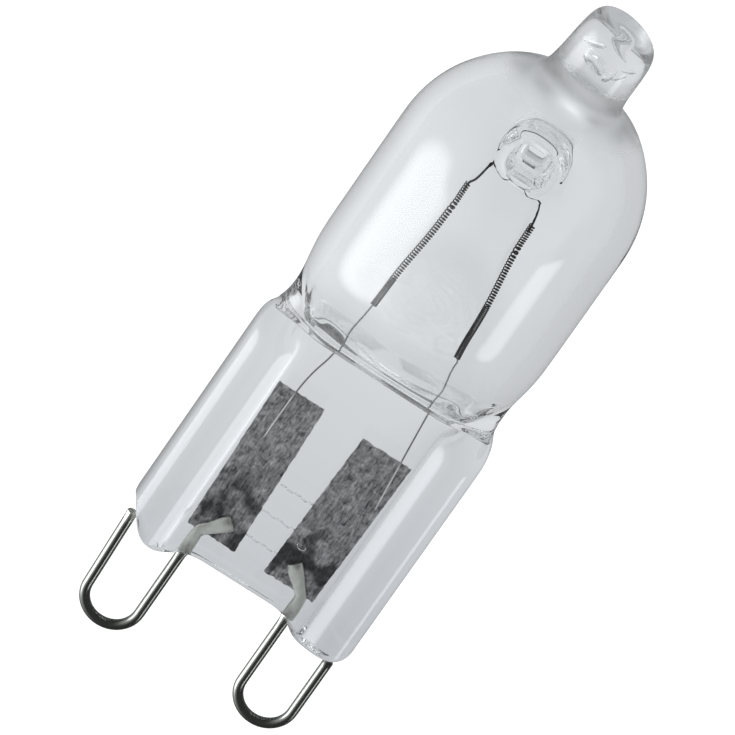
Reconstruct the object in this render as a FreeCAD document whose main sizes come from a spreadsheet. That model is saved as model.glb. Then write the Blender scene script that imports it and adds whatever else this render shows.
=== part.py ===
"""Halogen capsule bulb with a looped-wire base, in millimetres.

+Z runs along the bulb's own axis from the wire loops to the sealed tip. +X runs across the flat pinch
seal, from the left loop to the right one, and -Y is the front. The origin is on the axis at the foot of
the pinch, where the bulb stops against its socket.
"""

import FreeCAD
import Part
import Sketcher
import math
import os
import re

# Every driving size: name, value in millimetres (angles in degrees), what it measures.
SIZES = [
    ("bulb_radius", 6.40, "outside of the round bulb"),
    ("bulb_wall", 1.00, "glass thickness of the bulb"),
    ("bulb_straight", 7.40, "straight length of the bulb below its dome"),
    ("neck_rise", 4.70, "from the top of the rails to the full round of the bulb"),
    ("neck_half_width", 6.02, "half width of the neck at its narrowest"),
    ("neck_half_depth", 3.00, "half thickness of the neck at its narrowest"),
    ("slit_half_width", 4.15, "half width of the flattened floor of the gas space"),
    ("slit_half_depth", 0.45, "half thickness of the flattened floor of the gas space"),
    ("floor_rise", 0.10, "floor of the gas space above the top of the rails"),
    ("pinch_half_width", 6.63, "half width over the two rails"),
    ("pinch_height", 14.90, "length of the rails"),
    ("rail_width", 2.50, "width of a rail seen from the front"),
    ("rail_depth", 4.00, "thickness of a rail, front to back"),
    ("rail_corner", 1.10, "corner radius of a rail"),
    ("rail_shoulder", 1.00, "rounding of the shoulder of a rail"),
    ("panel_depth", 2.60, "thickness of the panel between the rails"),
    ("panel_foot", 1.00, "height of the foot of the panel above the foot of the rails"),
    ("corner_cut_left", 1.90, "slanting cut at the foot of the left rail"),
    ("corner_cut_right", 1.20, "slanting cut at the foot of the right rail"),
    ("tip_radius", 2.03, "outside of the sealed exhaust tip"),
    ("tip_length", 3.80, "height of the exhaust tip above the top of the dome"),
    ("tip_lean", 4.0, "lean of the tip from the axis, in degrees"),
    ("tip_rim", 0.55, "bevel round the top of the tip"),
    ("tip_bore", 0.45, "radius of the closed bore in the tip"),
    ("tip_bore_length", 2.60, "length of the closed bore above the inside of the dome"),
    ("post_rise", 1.95, "height of the glass post above the centre of the dome"),
    ("post_width", 2.60, "width of the glass post at its middle"),
    ("post_height", 2.35, "height of the glass post at its middle"),
    ("post_corner", 0.70, "corner radius of the glass post at its middle"),
    ("post_web", 0.70, "glass left between the floors of the two dimples"),
    ("post_wall", 0.55, "glass between a dimple and the gas space"),
    ("foil_width", 2.70, "width of a sealing foil"),
    ("foil_length", 8.77, "length of a sealing foil"),
    ("foil_depth", 0.06, "thickness of a sealing foil"),
    ("foil_feather", 0.12, "width of the thinned edge of a foil"),
    ("foil_inset", 0.62, "middle of a foil, inward from the inner leg of its loop"),
    ("foil_margin", 1.54, "foot of a foil above the foot of the panel"),
    ("loop_spacing", 9.00, "centre to centre of the two loops"),
    ("loop_width", 2.95, "centre to centre of the two legs of a loop"),
    ("loop_drop", 5.00, "reach of a loop below the foot of the rails"),
    ("loop_wire", 0.55, "diameter of the loop wire"),
    ("loop_end_gap", 0.06, "gap between the free end of a loop and the glass"),
    ("tab_width", 0.64, "width of the flattened tab"),
    ("tab_depth", 0.36, "thickness of the flattened tab"),
    ("tab_straight", 1.30, "straight length of the tab above the foot of the panel"),
    ("tab_bend", 0.60, "bend radius of the tab"),
    ("tab_angle", 42.0, "slant of the end of the tab from upright, in degrees"),
    ("tab_reach", 1.55, "length of the slanting end of the tab"),
    ("lead_wire", 0.13, "diameter of an inner lead"),
    ("lead_lap", 2.67, "length of an inner lead that lies on its foil"),
    ("lead_share_left", 0.30, "foot of the left lead, as a share of the outer half of its foil"),
    ("lead_share_right", 0.83, "foot of the right lead, as a share of the outer half of its foil"),
    ("coil_rise", 2.67, "foot of the coils above the floor of the gas space"),
    ("coil_wire", 0.36, "outside of the coiled legs"),
    ("coil_top_half", 1.78, "top of each coiled leg, out from the axis"),
    ("coil_top_gap", 3.15, "top of the coiled legs below the middle of the post"),
    ("coil_sleeve", 1.80, "length of lead inside the foot of a coil"),
    ("bridge_wire", 0.14, "diameter of the plain wire over the post"),
    ("bridge_gap", 0.03, "gap between the plain wire and the post"),
    ("bridge_leg", 0.95, "upright length of the plain wire below the middle of the post"),
]

doc = FreeCAD.newDocument("halogen_capsule_bulb")
sheet = doc.addObject("Spreadsheet::Sheet", "Sizes")
for row, (alias, value, note) in enumerate(SIZES, start=1):
    sheet.set(f"A{row}", alias)
    sheet.set(f"B{row}", str(value))
    sheet.set(f"C{row}", note)
    sheet.setAlias(f"B{row}", alias)
doc.recompute()


def size(expression):
    """Turns plain size names into names of the sheet's cells."""
    names = "|".join(alias for alias, _, _ in SIZES)
    return re.sub(rf"(?<![.\w])({names})\b", r"Sizes.\1", expression)


def number(expression):
    """The present value of an expression, used to draw a sketch close to its solution."""
    return float(sheet.evalExpression(expression))


# Places that several pieces share.
FLOOR = size("( pinch_height + floor_rise )")
NECK_TOP = size("( pinch_height + neck_rise )")
DOME = size(f"( {NECK_TOP} + bulb_straight )")
POST = size(f"( {DOME} + post_rise )")
INNER_LEG = size("( loop_spacing / 2 - loop_width / 2 )")
OUTER_LEG = size("( loop_spacing / 2 + loop_width / 2 )")
FOIL_MIDDLE = size(f"( {INNER_LEG} - foil_inset )")
FOIL_FOOT = size("( panel_foot + foil_margin )")
FOIL_TOP = size(f"( {FOIL_FOOT} + foil_length )")
LEAD_FOOT = size(f"( {FOIL_TOP} - lead_lap )")
COIL_FOOT = size(f"( {FLOOR} + coil_rise )")
COIL_TOP = size(f"( {POST} - coil_top_gap )")
LOOP_PLANE = size("( - foil_depth / 2 - tab_depth / 2 )")
WIRE_PLANE = size("( - foil_depth / 2 - lead_wire * 0.4 )")
BRIDGE_HALF = size("( post_width / 2 + bridge_gap + bridge_wire / 2 )")

SPARE = 0.5  # how far a cutting sketch runs past the piece it cuts
HALF_TURN = math.pi
QUARTER_TURN = math.pi / 2
UP = FreeCAD.Vector(0, 0, 1)
START, END, CENTRE = 1, 2, 3
ORIGIN, ACROSS_AXIS, UP_AXIS = -1, -1, -2


def point(x, y):
    return FreeCAD.Vector(x, y, 0)


def new_body(name):
    return doc.addObject("PartDesign::Body", name)


def new_sketch(body, role, name, offset=None):
    """A sketch on one of the body's own planes, moved along its normal by an expression."""
    sketch = body.newObject("Sketcher::SketchObject", name)
    plane = [feature for feature in body.Origin.OriginFeatures if feature.Role == role][0]
    sketch.AttachmentSupport = [(plane, "")]
    sketch.MapMode = "FlatFace"
    if offset is not None:
        sketch.setExpression("AttachmentOffset.Base.z", offset)
    return sketch


def dimension(sketch, kind, members, expression):
    """Adds one dimension to a sketch and binds it to the sheet."""
    index = sketch.addConstraint(Sketcher.Constraint(kind, *members, number(expression)))
    sketch.setExpression(f"Constraints[{index}]", expression)


def relate(sketch, kind, *members):
    sketch.addConstraint(Sketcher.Constraint(kind, *members))


def fix_across(sketch, geometry, end, side, expression):
    """Holds a sketch point at a distance to the right (side 1) or left (side -1) of the axis."""
    here = (geometry, end)
    members = (ORIGIN, START) + here if side > 0 else here + (ORIGIN, START)
    dimension(sketch, "DistanceX", members, expression)


def fix_up(sketch, geometry, end, expression):
    """Holds a sketch point at a height above the origin (or below it if the value is negative)."""
    dimension(sketch, "DistanceY", (ORIGIN, START, geometry, end), expression)


def draw_circle(sketch, diameter, across=None, side=1):
    """A circle on the sketch's origin, or moved across from it by an expression."""
    x = 0.0 if across is None else side * number(across)
    circle = sketch.addGeometry(Part.Circle(point(x, 0), UP, number(diameter) / 2), False)
    if across is None:
        relate(sketch, "Coincident", circle, CENTRE, ORIGIN, START)
    else:
        relate(sketch, "PointOnObject", circle, CENTRE, ACROSS_AXIS)
        fix_across(sketch, circle, CENTRE, side, across)
    dimension(sketch, "Diameter", (circle,), diameter)


def draw_arc(sketch, centre, radius, first, last):
    """An arc of a circle, anticlockwise between two angles; the caller adds its dimensions."""
    ring = Part.Circle(centre, UP, radius)
    return sketch.addGeometry(Part.ArcOfCircle(ring, first, last), False)


def draw_line(sketch, first, last):
    """A straight line between two points; the caller adds its dimensions."""
    return sketch.addGeometry(Part.LineSegment(first, last), False)


def draw_path(sketch, points, side=1):
    """A chain of straight lines; points are (across, up) expressions, each held by two dimensions."""
    places = [point(side * number(x), number(y)) for x, y in points]
    closed = points[-1] == points[0]
    for k in range(len(points) - 1):
        line = draw_line(sketch, places[k], places[k + 1])
        fix_across(sketch, line, START, side, points[k][0])
        fix_up(sketch, line, START, points[k][1])
        if k > 0:
            relate(sketch, "Coincident", line - 1, END, line, START)
    if closed:
        relate(sketch, "Coincident", line, END, 0, START)
    else:
        fix_across(sketch, line, END, side, points[-1][0])
        fix_up(sketch, line, END, points[-1][1])


def draw_rounded_rectangle(sketch, width, height, corner, across="0.0", side=1):
    """A rectangle with round corners, its middle moved across from the origin by an expression."""
    half_width = number(width) / 2
    half_height = number(height) / 2
    r = number(corner)
    middle = side * number(across)
    lines = []
    arcs = []
    for turn in range(4):
        # each side runs from one rounded corner to the next, anticlockwise from the bottom
        along, reach = (half_width, half_height) if turn % 2 == 0 else (half_height, half_width)
        spin = FreeCAD.Rotation(UP, 90.0 * turn)
        shift = point(middle, 0)
        first = spin.multVec(point(r - along, -reach)) + shift
        last = spin.multVec(point(along - r, -reach)) + shift
        centre = spin.multVec(point(along - r, r - reach)) + shift
        lines.append(draw_line(sketch, first, last))
        arcs.append(draw_arc(sketch, centre, r, (turn - 1) * QUARTER_TURN, turn * QUARTER_TURN))
    for turn in range(4):
        relate(sketch, "Tangent", lines[turn], END, arcs[turn], START)
        relate(sketch, "Tangent", arcs[turn], END, lines[(turn + 1) % 4], START)
        relate(sketch, "Horizontal" if turn % 2 == 0 else "Vertical", lines[turn])
    for arc in arcs[1:]:
        relate(sketch, "Equal", arcs[0], arc)
    dimension(sketch, "Radius", (arcs[0],), corner)
    dimension(sketch, "DistanceY", (lines[0], START, ORIGIN, START), f"( {height} ) / 2")
    dimension(sketch, "DistanceY", (ORIGIN, START, lines[2], START), f"( {height} ) / 2")
    dimension(sketch, "DistanceX", (lines[3], START, lines[1], START), width)
    outer = lines[1] if side > 0 else lines[3]
    fix_across(sketch, outer, START, side, f"( {across} ) + ( {width} ) / 2")


def draw_octagon(sketch, width, height, corner):
    """A rectangle centred on the origin with its four corners cut off."""
    right = f"( {width} / 2 )"
    right_in = f"( {width} / 2 - {corner} )"
    top = f"( {height} / 2 )"
    top_in = f"( {height} / 2 - {corner} )"
    quarter = [(right, top_in), (right_in, top)]
    corners = quarter + [(f"( - {x} )", y) for x, y in reversed(quarter)]
    corners += [(f"( - {x} )", f"( - {y} )") for x, y in quarter]
    corners += [(x, f"( - {y} )") for x, y in reversed(quarter)]
    draw_path(sketch, corners + corners[:1])


def draw_shoulder(sketch, side, edge, top, radius):
    """What is taken off an outer top corner to leave it round."""
    x = number(edge)
    y = number(top)
    r = number(radius)
    spare = SPARE
    first = 0.0 if side > 0 else QUARTER_TURN
    arc = draw_arc(sketch, point(side * (x - r), y - r), r, first, first + QUARTER_TURN)
    low, high = (START, END) if side > 0 else (END, START)
    corners = [(x, y - r), (x + spare, y - r), (x + spare, y + spare), (x - r, y + spare), (x - r, y)]
    places = [point(side * a, b) for a, b in corners]
    lines = [draw_line(sketch, start, end) for start, end in zip(places, places[1:])]
    relate(sketch, "Coincident", arc, low, lines[0], START)
    for first, second in zip(lines, lines[1:]):
        relate(sketch, "Coincident", first, END, second, START)
    relate(sketch, "Coincident", lines[3], END, arc, high)
    for line in lines[0::2]:
        relate(sketch, "Horizontal", line)
    for line in lines[1::2]:
        relate(sketch, "Vertical", line)
    dimension(sketch, "Radius", (arc,), radius)
    fix_across(sketch, arc, CENTRE, side, f"( {edge} - {radius} )")
    fix_up(sketch, arc, CENTRE, f"( {top} - {radius} )")
    fix_up(sketch, lines[0], START, f"( {top} - {radius} )")
    fix_across(sketch, lines[3], END, side, f"( {edge} - {radius} )")
    fix_across(sketch, lines[0], END, side, f"( {edge} + {spare} )")
    fix_up(sketch, lines[1], END, f"( {top} + {spare} )")


def cut_through(body, name, sketch):
    """Cuts a sketch right through the body, both ways from the sketch's plane."""
    pocket = body.newObject("PartDesign::Pocket", name)
    pocket.Profile = sketch
    pocket.SideType = "Symmetric"
    pocket.Type = "ThroughAll"
    doc.recompute()
    return pocket


def revolve_bulb(name, radius, foot, centre):
    """A round bulb: a straight cylinder under a half-round dome, turned about the axis."""
    body = new_body(name)
    sketch = new_sketch(body, "XZ_Plane", name + "_profile")
    r = number(radius)
    low = number(foot)
    mid = number(centre)
    base = draw_line(sketch, point(0, low), point(r, low))
    wall = draw_line(sketch, point(r, low), point(r, mid))
    dome = draw_arc(sketch, point(0, mid), r, 0.0, QUARTER_TURN)
    axis = draw_line(sketch, point(0, mid + r), point(0, low))
    relate(sketch, "Coincident", base, END, wall, START)
    relate(sketch, "Tangent", wall, END, dome, START)
    relate(sketch, "Coincident", dome, END, axis, START)
    relate(sketch, "Coincident", axis, END, base, START)
    relate(sketch, "Horizontal", base)
    relate(sketch, "Vertical", wall)
    relate(sketch, "PointOnObject", base, START, UP_AXIS)
    relate(sketch, "PointOnObject", dome, END, UP_AXIS)
    relate(sketch, "PointOnObject", dome, CENTRE, UP_AXIS)
    dimension(sketch, "Radius", (dome,), radius)
    fix_up(sketch, base, START, foot)
    fix_up(sketch, dome, CENTRE, centre)
    turn = body.newObject("PartDesign::Revolution", name + "_turn")
    turn.Profile = sketch
    turn.ReferenceAxis = (sketch, ["V_Axis"])
    turn.Angle = 360.0
    doc.recompute()
    return body


def loft_ellipses(name, sections):
    """A straight-sided solid through level ellipses: (height, half width, half depth) expressions."""
    rings = []
    for k, (height, half_width, half_depth) in enumerate(sections):
        ring = doc.addObject("Part::Ellipse", f"{name}_section_{k}")
        ring.setExpression("MajorRadius", half_width)
        ring.setExpression("MinorRadius", half_depth)
        ring.setExpression("Placement.Base.z", height)
        rings.append(ring)
    loft = doc.addObject("Part::Loft", name)
    loft.Sections = rings
    loft.Solid = True
    loft.Ruled = True
    doc.recompute()
    return loft


def loft_along_depth(name, sections):
    """A straight-sided solid along Y at the height of the post: (y, width, height, corner) expressions."""
    rings = []
    for k, (depth, width, height, corner) in enumerate(sections):
        ring = doc.addObject("Sketcher::SketchObject", f"{name}_section_{k}")
        ring.Placement = FreeCAD.Placement(point(0, 0), FreeCAD.Rotation(FreeCAD.Vector(1, 0, 0), 90))
        ring.setExpression("Placement.Base.y", depth)
        ring.setExpression("Placement.Base.z", POST)
        draw_octagon(ring, width, height, corner)
        rings.append(ring)
    doc.recompute()
    loft = doc.addObject("Part::Loft", name)
    loft.Sections = rings
    loft.Solid = True
    loft.Ruled = True
    doc.recompute()
    return loft


def straight_wire(body, kind, name, side, foot, top, diameter):
    """One straight round wire between two (across, up) places in the body's own plane."""
    line = new_sketch(body, "XZ_Plane", name + "_line")
    draw_path(line, [foot, top], side)
    doc.recompute()
    section = body.newObject("Sketcher::SketchObject", name + "_section")
    section.AttachmentSupport = [(line, "Edge1")]
    section.MapMode = "NormalToEdge"
    section.MapPathParameter = 0.0
    draw_circle(section, diameter)
    doc.recompute()
    wire = body.newObject(f"PartDesign::{kind}", name)
    wire.Profile = section
    across = f"( {foot[0]} - {top[0]} )"
    up = f"( {foot[1]} - {top[1]} )"
    wire.setExpression("Length", f"sqrt( {across} * {across} + {up} * {up} )")
    run = line.Shape.Edges[0].tangentAt(line.Shape.Edges[0].FirstParameter)
    facing = section.Placement.Rotation.multVec(UP)
    against = facing.dot(run) < 0
    wire.Reversed = against if kind == "Pad" else not against
    doc.recompute()
    return wire


def half_ring(body, name, side, centre, radius, diameter):
    """Half a turn of round wire under an (across, up) centre, bent about a line along Y."""
    section = new_sketch(body, "XY_Plane", name + "_section", centre[1])
    draw_circle(section, diameter, f"( {centre[0]} + {radius} )", side)
    x = side * number(centre[0])
    axis = section.addGeometry(Part.LineSegment(point(x, -1.0), point(x, 1.0)), True)
    relate(section, "Vertical", axis)
    fix_across(section, axis, START, side, centre[0])
    dimension(section, "DistanceY", (axis, START, ORIGIN, START), "1.0")
    dimension(section, "DistanceY", (ORIGIN, START, axis, END), "1.0")
    doc.recompute()
    bend = body.newObject("PartDesign::Revolution", name)
    bend.Profile = section
    bend.ReferenceAxis = (section, ["Axis0"])
    bend.Angle = 180.0
    bend.Reversed = side < 0
    doc.recompute()
    return bend


def fuse(name, pieces):
    joined = doc.addObject("Part::MultiFuse", name)
    joined.Shapes = pieces
    doc.recompute()
    return joined


def cut(name, base, tool):
    left = doc.addObject("Part::Cut", name)
    left.Base = base
    left.Tool = tool
    doc.recompute()
    return left


def make_rail(side, word):
    """One rail of the pinch, rounded at its shoulder; the free end of its loop stands under a slant."""
    body = new_body(f"rail_{word}")
    outline = new_sketch(body, "XY_Plane", f"rail_outline_{word}")
    middle = size("( pinch_half_width - rail_width / 2 )")
    corner = size("min( rail_corner ; rail_width * 0.46 )")
    draw_rounded_rectangle(outline, size("rail_width"), size("rail_depth"), corner, middle, side)
    pad = body.newObject("PartDesign::Pad", f"rail_pad_{word}")
    pad.Profile = outline
    pad.setExpression("Length", size("pinch_height"))
    doc.recompute()

    edge = size("pinch_half_width")
    reach = size(f"corner_cut_{word}")
    inner_foot = (f"( {edge} - {reach} - {SPARE} )", f"( - {SPARE} )")
    outer_top = (f"( {edge} + {SPARE} )", f"( {reach} + {SPARE} )")
    outer_foot = (f"( {edge} + {SPARE} )", f"( - {SPARE} )")
    slant = new_sketch(body, "XZ_Plane", f"corner_outline_{word}")
    draw_path(slant, [inner_foot, outer_top, outer_foot, inner_foot], side)
    cut_through(body, f"corner_{word}", slant)

    shoulder = new_sketch(body, "XZ_Plane", f"shoulder_outline_{word}")
    draw_shoulder(shoulder, side, edge, size("pinch_height"), size("rail_shoulder"))
    cut_through(body, f"shoulder_{word}", shoulder)
    return body


# The flat pinch seal: a panel between two thicker rails.
panel = new_body("panel")
panel_sketch = new_sketch(panel, "XY_Plane", "panel_outline", size("panel_foot"))
panel_width = size("( pinch_half_width * 2 - rail_width )")
draw_rounded_rectangle(panel_sketch, panel_width, size("panel_depth"), size("( panel_depth * 0.2 )"))
panel_pad = panel.newObject("PartDesign::Pad", "panel_pad")
panel_pad.Profile = panel_sketch
panel_pad.setExpression("Length", size("( pinch_height - panel_foot )"))
doc.recompute()
rail_left = make_rail(-1, "left")
rail_right = make_rail(1, "right")

# The round bulb and its neck, which goes from round to flat as it runs down into the pinch.
bulb = revolve_bulb("bulb_blank", size("bulb_radius"), NECK_TOP, DOME)
neck_foot = size("( pinch_height - neck_rise * 0.15 )")
neck_waist = size("( pinch_height + neck_rise * 0.30 )")
neck = loft_ellipses(
    "neck_blank",
    [
        (neck_foot, size("( neck_half_width * 0.97 )"), size("( panel_depth / 2 )")),
        (neck_waist, size("neck_half_width"), size("neck_half_depth")),
        (NECK_TOP, size("bulb_radius"), size("bulb_radius")),
    ],
)

# The sealed exhaust tip, a short stub melted off with a bevelled rim; it leans a little to the right.
tip = new_body("tip_blank")
tip_sketch = new_sketch(tip, "XZ_Plane", "tip_profile")
tip_inner = size("( tip_radius - tip_rim )")
tip_shoulder = size("( tip_length - tip_rim )")
tip_foot = size("( - tip_radius )")
draw_path(
    tip_sketch,
    [
        ("0.0", tip_foot),
        (size("tip_radius"), tip_foot),
        (size("tip_radius"), tip_shoulder),
        (tip_inner, size("tip_length")),
        ("0.0", size("tip_length")),
        ("0.0", tip_foot),
    ],
)
tip_turn = tip.newObject("PartDesign::Revolution", "tip_turn")
tip_turn.Profile = tip_sketch
tip_turn.ReferenceAxis = (tip_sketch, ["V_Axis"])
tip_turn.Angle = 360.0
tip.Placement = FreeCAD.Placement(point(0, 0), FreeCAD.Rotation(FreeCAD.Vector(0, 1, 0), 1.0))
tip.setExpression("Placement.Base.z", size(f"( {DOME} + bulb_radius )"))
tip.setExpression("Placement.Rotation.Angle", size("tip_lean"))
doc.recompute()

blank = fuse("glass_blank", [bulb, neck, tip, panel, rail_left, rail_right])

# The gas space: the same bulb and neck less the wall, with a closed bore left in the tip.
inner_radius = size("( bulb_radius - bulb_wall )")
gas_bulb = revolve_bulb("gas_bulb", inner_radius, NECK_TOP, DOME)
gas_waist = size(f"( {FLOOR} + neck_rise * 0.30 )")
gas_half_width = size(f"( slit_half_width * 0.6 + {inner_radius} * 0.4 )")
gas_neck = loft_ellipses(
    "gas_neck",
    [
        (FLOOR, size("slit_half_width"), size("slit_half_depth")),
        (gas_waist, gas_half_width, size("( neck_half_depth * 0.62 )")),
        (NECK_TOP, inner_radius, inner_radius),
    ],
)
tip_bore = doc.addObject("Part::Cylinder", "tip_bore")
tip_bore.setExpression("Radius", size("tip_bore"))
tip_bore.setExpression("Height", size("( tip_bore_length + bulb_wall )"))
tip_bore.setExpression("Placement.Base.z", size(f"( {DOME} + {inner_radius} - bulb_wall )"))
gas_fill = fuse("gas_fill", [gas_bulb, gas_neck, tip_bore])

# Two opposed dimples meet on the axis as a glass post for the filament to hang over.
# Each step is a share of the bulb's radius from the axis and how much wider the post is there.
POST_SIDES = ("post_width", "post_height", "post_corner")
post_steps = ((-1.0, 2.9), (-0.5, 1.25), (0.0, 1.0), (0.5, 1.25), (1.0, 2.9))
post_sections = []
for share, growth in post_steps:
    depth = size(f"( bulb_radius * {share} )")
    post_sections.append([depth] + [size(f"( {name} * {growth} )") for name in POST_SIDES])
post = loft_along_depth("post", post_sections)
pits = []
for sign, word in ((-1, "front"), (1, "back")):
    pit_sections = []
    for share, growth in post_steps[2:]:
        depth = size(f"( {sign} * ( post_web / 2 + ( bulb_radius * 1.06 - post_web / 2 ) * {share} ) )")
        scale = size(f"( {growth} * ( 1 - post_wall * 2 / post_width ) )")
        pit_sections.append([depth] + [size(f"( {name} * {scale} )") for name in POST_SIDES])
    pits.append(loft_along_depth(f"dimple_{word}", pit_sections))
gas_space = cut("gas_space", gas_fill, post)


def make_foil(name, side):
    """A sealing foil: a thin strip with feathered edges, standing in the middle plane of the pinch."""
    body = new_body(name)
    outline = new_sketch(body, "XY_Plane", name + "_outline", FOIL_FOOT)
    middle = FOIL_MIDDLE
    half = size("foil_width / 2")
    flat = size("( foil_width / 2 - foil_feather )")
    thick = size("foil_depth / 2")
    corners = [
        (f"( {middle} - {half} )", "0.0"),
        (f"( {middle} - {flat} )", f"( - {thick} )"),
        (f"( {middle} + {flat} )", f"( - {thick} )"),
        (f"( {middle} + {half} )", "0.0"),
        (f"( {middle} + {flat} )", thick),
        (f"( {middle} - {flat} )", thick),
        (f"( {middle} - {half} )", "0.0"),
    ]
    draw_path(outline, corners, side)
    pad = body.newObject("PartDesign::Pad", name + "_pad")
    pad.Profile = outline
    pad.setExpression("Length", size("foil_length"))
    doc.recompute()
    return body


def add_tab(body, name, side):
    """Sweeps the flattened tab along its bent path: up the inner leg, then inward on a slant."""
    foot = size("( panel_foot + tab_straight * 0.15 )")
    knee_height = size("( panel_foot + tab_straight )")
    rise = size("( tab_reach * cos( tab_angle * 1deg ) )")
    x = side * number(INNER_LEG)
    top = number(knee_height)
    radius = number(size("tab_bend"))
    angle = math.radians(number(size("tab_angle")))
    path = new_sketch(body, "XZ_Plane", name + "_tab_path")
    stem = draw_line(path, point(x, number(foot)), point(x, top))
    first = 0.0 if side > 0 else HALF_TURN - angle
    knee = draw_arc(path, point(x - side * radius, top), radius, first, first + angle)
    knee_start, knee_end = (START, END) if side > 0 else (END, START)
    after = path.getPoint(knee, knee_end)
    way = point(-side * math.sin(angle), math.cos(angle))
    slope = draw_line(path, after, after + way * number(size("tab_reach")))
    relate(path, "Tangent", stem, END, knee, knee_start)
    relate(path, "Tangent", knee, knee_end, slope, START)
    relate(path, "Vertical", stem)
    fix_across(path, stem, START, side, INNER_LEG)
    fix_up(path, stem, START, foot)
    fix_up(path, stem, END, knee_height)
    dimension(path, "Radius", (knee,), size("tab_bend"))
    dimension(path, "Distance", (slope,), size("tab_reach"))
    dimension(path, "DistanceY", (slope, START, slope, END), rise)

    inside = size(f"( {INNER_LEG} - tab_width / 2 )")
    outside = size(f"( {INNER_LEG} + tab_width / 2 )")
    back = size("( tab_depth / 2 )")
    front = size("( - tab_depth / 2 )")
    section = new_sketch(body, "XY_Plane", name + "_tab_section", foot)
    outline = [(inside, front), (outside, front), (outside, back), (inside, back), (inside, front)]
    draw_path(section, outline, side)
    doc.recompute()
    tab = body.newObject("PartDesign::AdditivePipe", name + "_tab")
    tab.Profile = section
    tab.Spine = (path, ["Edge1", "Edge2", "Edge3"])
    doc.recompute()


def make_loop(name, side, word):
    """A contact loop of round wire, with a flattened and bent tab on its inner leg."""
    body = new_body(name)
    body.setExpression("Placement.Base.y", LOOP_PLANE)
    leg_room = size(f"( pinch_half_width - {OUTER_LEG} + loop_wire / 2 )")
    free_end = size(f"( corner_cut_{word} - {leg_room} - loop_end_gap )")
    bend_height = size("( - loop_drop + loop_wire / 2 + loop_width / 2 )")
    tab_foot = size("( panel_foot + tab_straight * 0.4 )")
    middle = size("( loop_spacing / 2 )")
    wire = size("loop_wire")
    outer_foot = (OUTER_LEG, bend_height)
    inner_foot = (INNER_LEG, bend_height)
    straight_wire(body, "Pad", name + "_free_leg", side, outer_foot, (OUTER_LEG, free_end), wire)
    half_ring(body, name + "_bend", side, (middle, bend_height), size("( loop_width / 2 )"), wire)
    straight_wire(body, "Pad", name + "_sealed_leg", side, inner_foot, (INNER_LEG, tab_foot), wire)
    add_tab(body, name, side)
    return body


def leg_across(word, height):
    """Where the straight line of a coiled leg and its lead is at a height, out from the axis."""
    foot = size(f"( {FOIL_MIDDLE} + foil_width / 2 * lead_share_{word} )")
    share = f"( ( {COIL_TOP} - {height} ) / ( {COIL_TOP} - {LEAD_FOOT} ) )"
    return size(f"( coil_top_half + ( {foot} - coil_top_half ) * {share} )")


def leg_place(word, height):
    return (leg_across(word, height), height)


def make_lead(name, side, word, foil):
    """A straight inner lead, flat where it lies on its foil and reaching up inside the coil."""
    body = new_body(name + "_wire")
    body.setExpression("Placement.Base.y", WIRE_PLANE)
    foot = leg_place(word, LEAD_FOOT)
    top = leg_place(word, size(f"( {COIL_FOOT} + coil_sleeve )"))
    straight_wire(body, "Pad", name + "_length", side, foot, top, size("lead_wire"))
    return cut(name, body, foil)


def add_coil(body, side, word):
    """One coiled leg, drawn as a plain rod of the coil's outside diameter."""
    foot = leg_place(word, COIL_FOOT)
    top = leg_place(word, COIL_TOP)
    straight_wire(body, "Pad", f"coil_{word}", side, foot, top, size("coil_wire"))


def add_tail(body, side, word, hook_place):
    """The plain wire from inside the top of a coil to the foot of the hook over the post."""
    start = leg_place(word, size(f"( {COIL_TOP} - coil_wire * 1.5 )"))
    straight_wire(body, "Pad", f"tail_{word}", side, start, hook_place, size("bridge_wire"))


def make_filament(name):
    """Two coiled legs, hung from a thin wire that is bent over the glass post."""
    body = new_body(name)
    body.setExpression("Placement.Base.y", WIRE_PLANE)
    thin = size("bridge_wire")
    hook_foot = size(f"( {POST} - bridge_leg )")
    hook_place = (BRIDGE_HALF, hook_foot)
    add_coil(body, -1, "left")
    add_tail(body, -1, "left", hook_place)

    # the wire keeps its gap all round the post, so its cut corner grows with that gap
    corner = size("( post_corner + ( 2 - sqrt( 2 ) ) * ( bridge_gap + bridge_wire / 2 ) )")
    top = size(f"( {POST} + post_height / 2 + bridge_gap + bridge_wire / 2 )")
    spring = (BRIDGE_HALF, size(f"( {top} - {corner} )"))
    crown = (size(f"( {BRIDGE_HALF} - {corner} )"), top)
    far_crown = (f"( - {crown[0]} )", top)
    low = (BRIDGE_HALF, size(f"( {hook_foot} - bridge_wire )"))
    straight_wire(body, "Pad", "hook_left", -1, low, spring, thin)
    straight_wire(body, "Pad", "hook_slant_left", -1, spring, crown, thin)
    straight_wire(body, "Pad", "hook_over", 1, far_crown, crown, thin)
    straight_wire(body, "Pad", "hook_slant_right", 1, crown, spring, thin)
    straight_wire(body, "Pad", "hook_right", 1, spring, low, thin)
    add_tail(body, 1, "right", hook_place)
    add_coil(body, 1, "right")

    for side, word in ((-1, "left"), (1, "right")):
        below = leg_place(word, size(f"( {COIL_FOOT} - coil_wire )"))
        end = leg_place(word, size(f"( {COIL_FOOT} + coil_sleeve )"))
        straight_wire(body, "Pocket", f"bore_{word}", side, below, end, size("lead_wire"))
    return body


foil_left = make_foil("foil_left", -1)
foil_right = make_foil("foil_right", 1)
loop_left = make_loop("loop_left", -1, "left")
loop_right = make_loop("loop_right", 1, "right")
lead_left = make_lead("inner_lead_left", -1, "left", foil_left)
lead_right = make_lead("inner_lead_right", 1, "right", foil_right)
filament = make_filament("filament")

# The finished glass: the blank less its gas space, its dimples and every piece sealed in it.
hollow = fuse("hollow", [gas_space] + pits)
sealed = fuse("sealed", [foil_left, foil_right, loop_left, loop_right, lead_left, lead_right])
open_glass = cut("open_glass", blank, hollow)
envelope = cut("quartz_envelope", open_glass, sealed)

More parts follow.
